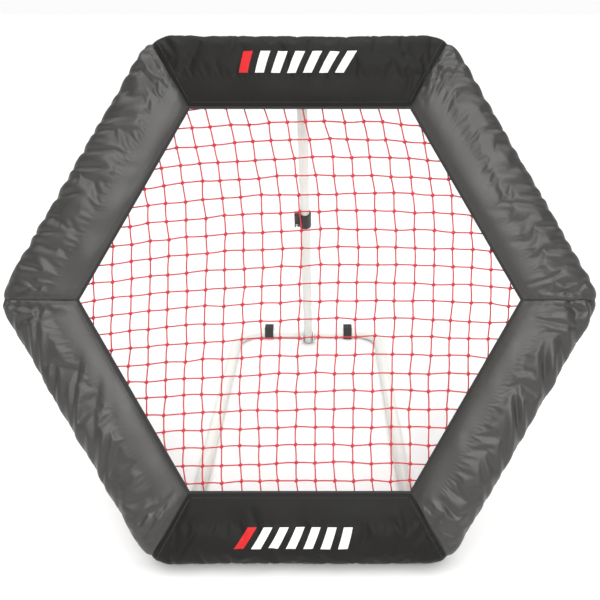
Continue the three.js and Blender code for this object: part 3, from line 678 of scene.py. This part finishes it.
def pad(side, number):
    """One pad: its section carried from mitre to mitre, moved by the cover's folds, and settled as cloth."""
    slanted = side not in ("top", "bottom")
    section, run, outside_end = pad_section()
    rows = len(section)
    ahead = np.roll(section, -1, 0) - np.roll(section, 1, 0)
    normal = np.stack([-ahead[:, 1], ahead[:, 0]], -1)
    normal /= np.linalg.norm(normal, axis=1, keepdims=True)
    # Columns crowd towards the mitres, where the folds are finer.
    share = np.sin(np.linspace(-1, 1, PAD_COLUMNS) * 1.25) / math.sin(1.25)
    s, y = np.meshgrid(share, section[:, 0], indexing="ij")
    z = np.broadcast_to(section[:, 1], y.shape).copy()
    d = np.broadcast_to(run, y.shape)
    outside = d <= outside_end
    x = s * half_length(y)
    to_mitre = half_length(y) - np.abs(x)

    faces_front = 0.2 + 0.8 * np.abs(normal[:, 1])[None, :]
    move = fold_move(side, number, x, d, to_mitre, faces_front)
    behind = 1 - smoothstep(-20, 6, z)
    move = np.where(outside, move * (1 - 0.55 * behind), 0)
    move = np.clip(move, -7.5, 6)
    # The cover is pulled tight over the slanted tubes, so its outer wall lies closer to them between mitres.
    slim = (SLANTED_SLIM if slanted else 0) * smoothstep(0, 45, to_mitre) * smoothstep(470, 540, y)
    slim = np.where(outside, slim, 0.25 * slim)
    y_moved = y + normal[:, 0] * move - slim
    z_moved = z + normal[:, 1] * move
    y_moved, z_moved = gathered_flap(side, number, x, y, z, y_moved, z_moved)

    px, py = along_side(s, y_moved)
    verts = np.stack([px, py, z_moved], -1).reshape(-1, 3)
    caps = [list(range(rows)), list(range((PAD_COLUMNS - 1) * rows, PAD_COLUMNS * rows))[::-1]]
    quads = grid_quads(PAD_COLUMNS, rows, True)[:, ::-1]
    on_front = smoothstep(4, 26, z) * outside
    free = smoothstep(0, 22, to_mitre) * smoothstep(20, 85, d) * (0.15 + 0.85 * on_front) * (z > -20)
    verts = settled(verts, quads, caps, (1 - free * outside).ravel())
    uv = grid_uv(share * half_length(PAD_OUTER - 60.0) * MM, np.append(run, run[-1] + 6) * MM)[:, ::-1]
    if side == "bottom":
        # Turned half round, so that the bottom pad's print stands upright as the top one's does.
        uv = np.array([0.0, 2 * BAR_MIDDLE]) - uv
    part = {"verts": verts, "quads": quads, "uv": uv, "caps": caps}
    stitching(side, verts.reshape(PAD_COLUMNS, rows, 3))
    cloth = SHEEN_PAINTED_COVER if slanted else SHADE_PAINTED_PRINTED_COVER
    obj = build("padded_cover_" + side, part, cloth, on_side(side), "frame", ["pad_" + side])


def stitching(side, cover):
    """The seams that show on one cover: along its hem, and beside both mitres."""
    out = np.cross(np.gradient(cover, axis=0), np.gradient(cover, axis=1))
    out /= np.linalg.norm(out, axis=2, keepdims=True) + 1e-9
    along = (slice(HEM_COLUMNS, -HEM_COLUMNS), HEM_ROW)
    beside = [(column, slice(HEM_ROW, SEAM_END_ROW)) for column in (SEAM_COLUMN, -1 - SEAM_COLUMN)]
    seams = [stitches(cover[line], out[line]) for line in [along, *beside]]
    build("cover_stitching_" + side, together(seams), THREAD, on_side(side), "frame")


def stitches(line, out):
    """A run of lockstitches along a line on cloth whose outward direction is out.

    Each stitch is a short thread that rises off the cloth halfway and dips into it at both ends.
    """
    run = run_along(line)
    starts = np.arange(2, run[-1] - STITCH_PITCH, STITCH_PITCH)
    steps = len(STITCH_RADII)
    at = starts[:, None] + np.linspace(0, STITCH_LENGTH, steps)
    path = np.stack([np.interp(at, run, line[:, k]) for k in range(3)], -1)
    up = np.stack([np.interp(at, run, out[:, k]) for k in range(3)], -1)
    across = np.cross(up, path[:, -1:] - path[:, :1])
    across /= np.linalg.norm(across, axis=2, keepdims=True)
    path = path + up * np.array(STITCH_RISE)[None, :, None]
    a = np.arange(STITCH_SIDES) * 2 * math.pi / STITCH_SIDES
    ring = np.cos(a)[:, None] * across[:, :, None] + np.sin(a)[:, None] * up[:, :, None]
    verts = path[:, :, None] + ring * np.array(STITCH_RADII)[None, :, None, None]
    count, each = len(starts), steps * STITCH_SIDES
    quads = grid_quads(steps, STITCH_SIDES, True)[None] + each * np.arange(count)[:, None, None]
    one_uv = grid_uv(np.linspace(0, STITCH_LENGTH * MM, steps), np.linspace(0, 4 * MM, STITCH_SIDES + 1))
    first = [[k * each + c for c in range(STITCH_SIDES)][::-1] for k in range(count)]
    last = [[(k + 1) * each - STITCH_SIDES + c for c in range(STITCH_SIDES)] for k in range(count)]
    return {
        "verts": verts.reshape(-1, 3),
        "quads": quads.reshape(-1, 4),
        "uv": np.tile(one_uv, (count, 1, 1)),
        "caps": first + last,
    }


def hexagon_path(apothem, corner_radius, z, step=12.0):
    """A closed rounded hexagon at height z: straight sides in steps of about step millimetres, and arcs."""
    half = (apothem - corner_radius) * TAN30
    reach = (apothem - corner_radius) / COS30
    x = np.linspace(half, -half, max(int(2 * half / step), 2))
    straight = np.stack([x, np.full_like(x, apothem), np.full_like(x, z)], -1)
    corner = np.array([reach * math.cos(math.radians(120)), reach * math.sin(math.radians(120)), z])
    a = np.radians(np.linspace(90, 150, 9)[1:-1])
    arc = np.stack([np.cos(a), np.sin(a), 0 * a], -1) * corner_radius + corner
    one_side = np.concatenate([straight, arc])
    return np.concatenate([turned(one_side, heading + 90) for heading in range(0, 360, 60)])


def hem_binding():
    """The tape folded over the pads' inner edge: a slightly tall round section along a tight hexagon."""
    middle = 9.5
    path = hexagon_path(PAD_INNER + 0.5, 4.0, middle, 9.0)
    part = sweep(path, 3.4, 12, closed=True)
    part["verts"][:, 2] = middle + (part["verts"][:, 2] - middle) * 1.15
    build("pad_hem_binding", part, TAPE, on_net, "frame")


def mitre_seam(heading, name):
    """The piped seam where two pads meet: a thin cord on the pads' pinched section, out along the mitre."""
    section, run = eased(OUTSIDE, 70)
    ahead = np.gradient(section, axis=0)
    normal = np.stack([-ahead[:, 1], ahead[:, 0]], -1) / np.linalg.norm(ahead, axis=1, keepdims=True)
    sunk = section - normal * (MITRE_PINCH * smoothstep(0, 14, run) + 0.6)[:, None]
    y = sunk[:, 0]
    reach = np.where(y < BEND_CENTRE, y / COS30, BEND_CENTRE / COS30 + y - BEND_CENTRE)
    a = math.radians(heading)
    path = np.stack([reach * math.cos(a), reach * math.sin(a), sunk[:, 1]], -1)[1:]
    part = sweep(path, 1.9, 10, (-math.sin(a), math.cos(a), 0.0))
    build("mitre_seam_" + name, part, TAPE, on_net, "frame")


# ---- Net and lacing --------------------------------------------------------------------------------


def net_warp(x, y):
    """How the net hangs away from a true grid, cubic in place: columns lean over at the top and bow back
    lower down, and rows climb to the right and droop at both ends."""
    u, v = x / 400, y / 400
    dx = 4.6 + 12.4 * v - 20.8 * v**2 - 28.2 * v**3 + 2.5 * u * (1 + u + v)
    dy = 6.4 + 11.8 * u - 17.9 * u**2 - 11.0 * u**2 * v + 3.5 * u * v - 4.6 * u * v**2
    return dx, dy


def inside_reach(x, y, along_row):
    """Distance from the hexagon's middle to the border cord along a row or a column."""
    if along_row:
        return (BORDER_APOTHEM - np.abs(y) / 2) / COS30
    return np.minimum(BORDER_APOTHEM, 2 * (BORDER_APOTHEM - np.abs(x) * COS30))


NET_X = NET_CELL[0] * np.arange(-14, 15) - 4.4
NET_Y = NET_CELL[1] * np.arange(-13, 14) - 9.9
STEPS_PER_CELL = 5
KNOT_WANDER = 4.5  # range over which a knot strays each way


def knot_jitter(i, j):
    """A fixed small irregularity for the knot at row j and column i, from the far digits of two sines."""
    a = np.sin(i * 12.9898 + j * 78.233) * 43758.5453
    b = np.sin(i * 39.3468 + j * 11.135) * 24634.6345
    return (a - np.floor(a) - 0.5) * KNOT_WANDER, (b - np.floor(b) - 0.5) * KNOT_WANDER


def knot_place(x, y, i, j):
    """Place of a knot in the net's plane."""
    dx, dy = net_warp(x, y)
    jx, jy = knot_jitter(i, j)
    return x + dx + jx, y + dy + jy


def net_strand(fixed, index, rows):
    """One cord of the net, from border to border, through its knots, with a slight curve in each cell."""
    if rows and abs(fixed) > BORDER_APOTHEM - 8:
        return None
    ticks = NET_X if rows else NET_Y
    numbers = np.arange(len(ticks))
    if rows:
        kx, ky = knot_place(ticks, np.full(len(ticks), fixed), numbers, index)
    else:
        kx, ky = knot_place(np.full(len(ticks), fixed), ticks, index, numbers)
    fine = np.arange(0, len(ticks) - 1 + 1e-6, 1 / STEPS_PER_CELL)
    x, y = np.interp(fine, numbers, kx), np.interp(fine, numbers, ky)
    bow = np.sin(math.pi * (fine % 1)) * np.sin(np.floor(fine) * 2.4 + index * 1.7) * 0.6
    x, y = (x, y + bow) if rows else (x + bow, y)
    z = (0.7 if rows else -0.7) * np.cos(2 * math.pi * fine)
    points = np.stack([x, y, z], -1)
    main = x if rows else y
    reach = inside_reach(x, y, rows)
    kept = np.abs(main) < reach - 4
    if kept.sum() < 2:
        return None
    first, last = np.flatnonzero(kept)[[0, -1]]
    ends = []
    for k, sign in ((first, -1), (last, 1)):
        end = points[k].copy()
        end[0 if rows else 1] = sign * inside_reach(x[k], y[k], rows)
        ends.append(end)
    return np.concatenate([ends[:1], points[first : last + 1], ends[1:]])


def knot_blobs(centres, size, tilt):
    """Small lumpy knots: each a ball of few faces, drawn out one way, turned by its tilt, and ridged by cord.

    The ball's own grid runs from pole to pole (v) and round (u), its radius wavering with 3u + 2v.
    """
    rings, around = 7, 8
    pole = 0.12
    v, u = np.meshgrid(
        np.linspace(pole, math.pi - pole, rings), np.arange(around) * 2 * math.pi / around, indexing="ij"
    )
    ridge = 1 + 0.16 * np.cos(3 * u + 2 * v)
    ball = np.stack([
        np.cos(v) * 1.25, np.sin(v) * np.cos(u) * ridge, np.sin(v) * np.sin(u) * 0.8 * ridge,
    ], -1).reshape(-1, 3)
    quads = grid_quads(rings, around, True)[:, ::-1]
    uv = grid_uv(np.linspace(0, 7 * MM, rings), np.linspace(0, 18 * MM, around + 1))[:, ::-1]
    caps = [list(range(around)), list(range((rings - 1) * around, rings * around))[::-1]]
    parts = []
    for centre, angle in zip(centres, tilt):
        c, s = math.cos(angle), math.sin(angle)
        x, y = ball[:, 0] * c - ball[:, 1] * s, ball[:, 0] * s + ball[:, 1] * c
        verts = centre + np.stack([x, y, ball[:, 2]], -1) * size
        parts.append({"verts": verts, "quads": quads, "uv": uv, "caps": caps})
    return together(parts)


def knotted_net():
    """The net: cords both ways with a knot wherever two cross, tied off on the border cord."""
    strands, ends = [], []
    for rows, ticks in ((True, NET_Y), (False, NET_X)):
        for index, fixed in enumerate(ticks):
            strand = net_strand(fixed, index, rows)
            if strand is not None:
                strands.append(sweep(strand, NET_CORD_R, 7))
                ends += [strand[0], strand[-1]]
    i, j = np.meshgrid(np.arange(len(NET_X)), np.arange(len(NET_Y)), indexing="ij")
    x, y = knot_place(NET_X[i], NET_Y[j], i, j)
    shown = (np.abs(y) < BORDER_APOTHEM - 6) & (np.abs(x) < inside_reach(x, y, True) - 7)
    centres = np.stack([x[shown], y[shown], 0 * x[shown]], -1)
    tilt = 0.75 + 0.5 * np.sin(centres[:, 0] * 0.7 + centres[:, 1] * 1.3)
    knots = knot_blobs(centres, 3.7, tilt)
    hitches = knot_blobs(np.array(ends), 4.2, np.linspace(0, 9, len(ends)))
    build("knotted_net_cords", together(strands), NET_CORD, on_net, "frame", ["net"])
    build("knotted_net_knots", together([knots, hitches]), NET_CORD, on_net, "frame")


def border_cord():
    """The thicker cord round the net's edge."""
    rope = sweep(hexagon_path(BORDER_APOTHEM, 15.0, 0.0, 14.0), BORDER_R, 12, closed=True)
    build("net_border_rope", rope, BORDER_CORD, on_net, "frame", ["net_border_cord"])


def lacing(side):
    """Elastic cord wound like a belt round frame tube and border cord, moving along the side as it goes."""
    big, small = TUBE_R + 2.8, BORDER_R + 3.1
    lean = math.acos((big - small) / (FRAME_APOTHEM - BORDER_APOTHEM))
    a = np.linspace(math.pi - lean, lean - math.pi, 24)
    b = np.linspace(lean - math.pi, -math.pi - lean, 12)
    loop = np.concatenate([
        np.stack([FRAME_APOTHEM + big * np.cos(a), big * np.sin(a)], -1),
        np.stack([BORDER_APOTHEM + small * np.cos(b), small * np.sin(b)], -1),
    ])
    # It starts and ends on the border cord.
    turns = np.tile(np.roll(loop, -30, 0), (LACE_TURNS, 1))
    x = np.linspace(-0.5, 0.5, len(turns)) * LACE_TURNS * LACE_PITCH
    path = np.stack([x, turns[:, 0], turns[:, 1]], -1)
    part = sweep(path, LACE_R - 0.1, 8, (1, 0, 0.001))
    build("elastic_lacing_" + side, part, ELASTIC, on_side(side), "frame", ["lacing_" + side])


# ---- Stand -----------------------------------------------------------------------------------------


def rounded_path(corners, radius, steps=14):
    """Straight runs through corners in a plane, each corner replaced by an arc of that radius."""
    corners = np.asarray(corners, float)
    points = [corners[:1]]
    for before, corner, after in zip(corners, corners[1:], corners[2:]):
        u = (before - corner) / np.linalg.norm(before - corner)
        v = (after - corner) / np.linalg.norm(after - corner)
        half = math.acos(float(u @ v)) / 2
        middle = (u + v) / np.linalg.norm(u + v)
        centre = corner + middle * radius / math.sin(half)
        start = corner + u * radius / math.tan(half) - centre
        end = corner + v * radius / math.tan(half) - centre
        swing = math.pi - 2 * half
        t = np.linspace(0, 1, steps)[:, None]
        points.append(centre + (start * np.sin((1 - t) * swing) + end * np.sin(t * swing)) / math.sin(swing))
    points.append(corners[-1:])
    return np.concatenate(points)


def turned_on_axis(profile, sides=40):
    """A closed surface of revolution about Y from (along, radius) pairs that start and end near the axis."""
    p = np.asarray(profile, float)
    a = np.arange(sides) * 2 * math.pi / sides
    verts = np.stack([
        p[:, 1:2] * np.cos(a), np.broadcast_to(p[:, :1], (len(p), sides)), p[:, 1:2] * np.sin(a),
    ], -1)
    return {
        "verts": verts.reshape(-1, 3),
        "quads": grid_quads(len(p), sides, True)[:, ::-1],
        "uv": grid_uv(run_along(p) * MM, np.linspace(0, 80 * MM, sides + 1))[:, ::-1],
        "caps": [list(range(sides)), list(range((len(p) - 1) * sides, len(p) * sides))[::-1]],
    }


def base_tube():
    """The ground base: one tube bent to a U."""
    front, back = -LEG_OVERHANG, BASE_LENGTH
    corners = [(-LEG_X, front, 0), (-LEG_X, back, 0), (LEG_X, back, 0), (LEG_X, front, 0)]
    path = rounded_path(corners, BASE_BEND_R)
    build("bent_base_tube", sweep(path, TUBE_R, 36), POWDER, on_base, "base", ["base_frame"])


def strut_tubes():
    """The strut's outer tube with a slightly rolled mouth, and the inner tube that slides in it."""
    foot, top = STRUT_FOOT, STRUT_OUTER_TOP
    low, high = top - STRUT_OVERLAP, STRUT_LENGTH - EYE_NECK
    profiles = {
        ("outer", "strut_lower"): [
            (foot, 12.7), (foot, 13.4), (foot + 0.6, STRUT_R), (top - 0.8, STRUT_R),
            (top, 13.6), (top, 12.5), (top - 6, 12.5),
        ],
        ("inner", "strut_upper"): [
            (low, 11), (low, 11.8), (low + 0.6, INNER_R), (high - 0.6, INNER_R), (high, 11.8), (high, 11),
        ],
    }
    for (which, body), profile in profiles.items():
        node = f"strut_{which}_tube"
        build(node + "_smooth", turned_on_axis(profile), POWDER, on_strut, body, [node])


def hardware():
    """Brackets, fasteners, clips, feet, frame tubes and the clamp: CAD pieces with rounded edges."""
    for side in ("left", "right"):
        dress("leg_plug_" + side, "plastic", "base", 0.8)
        dress("front_foot_" + side, "rubber", "base", 1.0)
        dress("crossbar_clip_" + side, "plastic", "base", 0.9)
        dress("strut_foot_washer_" + side, "plastic", "base", 0.3)
        dress("hinge_bracket_" + side, "steel", "frame", 0.6)
        dress(f"hinge_{side}_bolt", "zinc", "frame", 0.5)
        dress(f"hinge_{side}_nut", "zinc", "frame", 0.5)
        dress("frame_connector_" + side, "zinc", "frame", 0.2)
        for half in ("upper", "lower"):
            dress(f"joint_screw_{side}_{half}", "zinc", "frame", 0.4)
    for node in ("strut_foot_bolt", "strut_foot_nut"):
        dress(node, "zinc", "base", 0.5)
    dress("strut_clevis", "steel", "base", 0.6)
    for node in ("top_pivot_bolt", "top_pivot_nut"):
        dress(node, "zinc", "frame", 0.5)
    dress("top_bracket", "steel", "frame", 0.6)
    for half in ("upper", "lower"):
        dress(f"frame_{half}_tube", "steel", "frame", 0.2)
    dress("strut_foot_plug", "plastic", "strut_lower", 0.8)
    dress("clamp_collar", "plastic", "strut_lower", 0.8)
    dress("clamp_bolt", "zinc", "strut_lower", 0.3)
    dress("clamp_nut", "zinc", "strut_lower", 0.4)
    dress("strut_slide_bush", "plastic", "strut_upper", 0.4)
    dress("strut_top_eye", "plastic", "strut_upper", 0.8)
    dress("clamp_lever", "plastic", "lever", 0.9)
    dress("clamp_lever_pin", "zinc", "lever", 0.3)


# ---- Studio ----------------------------------------------------------------------------------------

CAMERA_DISTANCE = 1250.0
CAMERA_RIGHT = 43.0
VIEW_WIDTH = 1254.0  # how much of the net's plane the frame takes in
SENSOR_WIDTH = 36.0
FLOOR_R = 400.0  # metres
FLOOR_DROP = 0.2 * MM  # under the soles, so that they don't flicker with the floor
FLOOR_SIDES = 64


def standing(right, up, back, place):
    """The matrix that gives an object those directions for its own x, y and z, and that place."""
    turn = np.eye(4)
    turn[:3] = np.stack([right, up, back, place], 1)
    return Matrix(turn.tolist())


def camera():
    """A camera square to the net, a little right of its middle, and shifted to keep the middle centred."""
    data = bpy.data.cameras.new("camera")
    data.sensor_width = SENSOR_WIDTH
    data.lens = SENSOR_WIDTH * CAMERA_DISTANCE / VIEW_WIDTH
    data.shift_x = -CAMERA_RIGHT / VIEW_WIDTH
    data.clip_start = 0.05
    data.clip_end = 200.0
    obj = bpy.data.objects.new("camera", data)
    place = NET_CENTRE + CAMERA_DISTANCE * OUT_FRONT + CAMERA_RIGHT * ACROSS
    obj.matrix_world = standing(ACROSS, UP_SLOPE, OUT_FRONT, place * MM)
    bpy.context.scene.collection.objects.link(obj)
    bpy.context.scene.camera = obj


def softbox(name, place, aim, size, power):
    """A square area light at place, facing aim, both in metres."""
    data = bpy.data.lights.new(name, "AREA")
    data.shape = "SQUARE"
    data.size = size
    data.energy = power
    obj = bpy.data.objects.new(name, data)
    back = np.asarray(place, float) - np.asarray(aim, float)
    back /= np.linalg.norm(back)
    right = np.cross([0, 0, 1.0], back)
    right /= np.linalg.norm(right)
    obj.matrix_world = standing(right, np.cross(back, right), back, place)
    bpy.context.scene.collection.objects.link(obj)


def pale_surround():
    """World light: white at the horizon, where floor and air meet, and dim higher up."""
    world = bpy.data.worlds.new("pale_surround")
    world.use_nodes = True
    tree = world.node_tree
    tree.nodes.clear()
    height = add(tree, "SeparateXYZ", add(tree, "TexCoord", out="Generated"), out=2)
    air = add(tree, "MapRange", height, From_Min=0.03, From_Max=0.45, To_Min=0.97, To_Max=0.28)
    glow = add(tree, "Background", Color=(1, 1, 1, 1), Strength=air)
    add(tree, "OutputWorld", Surface=glow)
    bpy.context.scene.world = world


def matt_floor():
    """White matt paint, so flat that it throws no highlight."""
    material, tree = new_material("matt_white_floor")
    white = linear("#f6f6f5")
    surface = add(tree, "BsdfPrincipled", Base_Color=white, Roughness=0.9, Specular_IOR_Level=0.1)
    add(tree, "OutputMaterial", Surface=surface)
    return material


def studio():
    """A wide pale floor, a large soft light in front and above, and a soft sun that whitens the floor."""
    a = np.arange(FLOOR_SIDES) * 2 * math.pi / FLOOR_SIDES
    disc = np.stack([FLOOR_R * np.cos(a), FLOOR_R * np.sin(a), 0 * a - FLOOR_DROP], -1)
    mesh = bpy.data.meshes.new("studio_floor")
    mesh.from_pydata(disc.tolist(), [], [list(range(FLOOR_SIDES))])
    mesh.materials.append(matt_floor())
    floor = bpy.data.objects.new("studio_floor", mesh)
    bpy.context.scene.collection.objects.link(floor)
    pale_surround()
    sun = bpy.data.lights.new("soft_sun", "SUN")
    sun.energy = 2.6
    sun.angle = math.radians(75)
    bpy.context.scene.collection.objects.link(bpy.data.objects.new("soft_sun", sun))
    softbox("front_softbox", place=(0.5, -3.3, 2.7), aim=(0, -0.25, 0.5), size=2.2, power=85)
    bpy.context.scene.view_settings.view_transform = "Standard"


camera()
studio()
for number, side in enumerate(SIDES):
    pad(side, number)
    lacing(side)
for name, heading in CORNERS.items():
    mitre_seam(heading, name)
hem_binding()
knotted_net()
border_cord()
base_tube()
strut_tubes()
hardware()
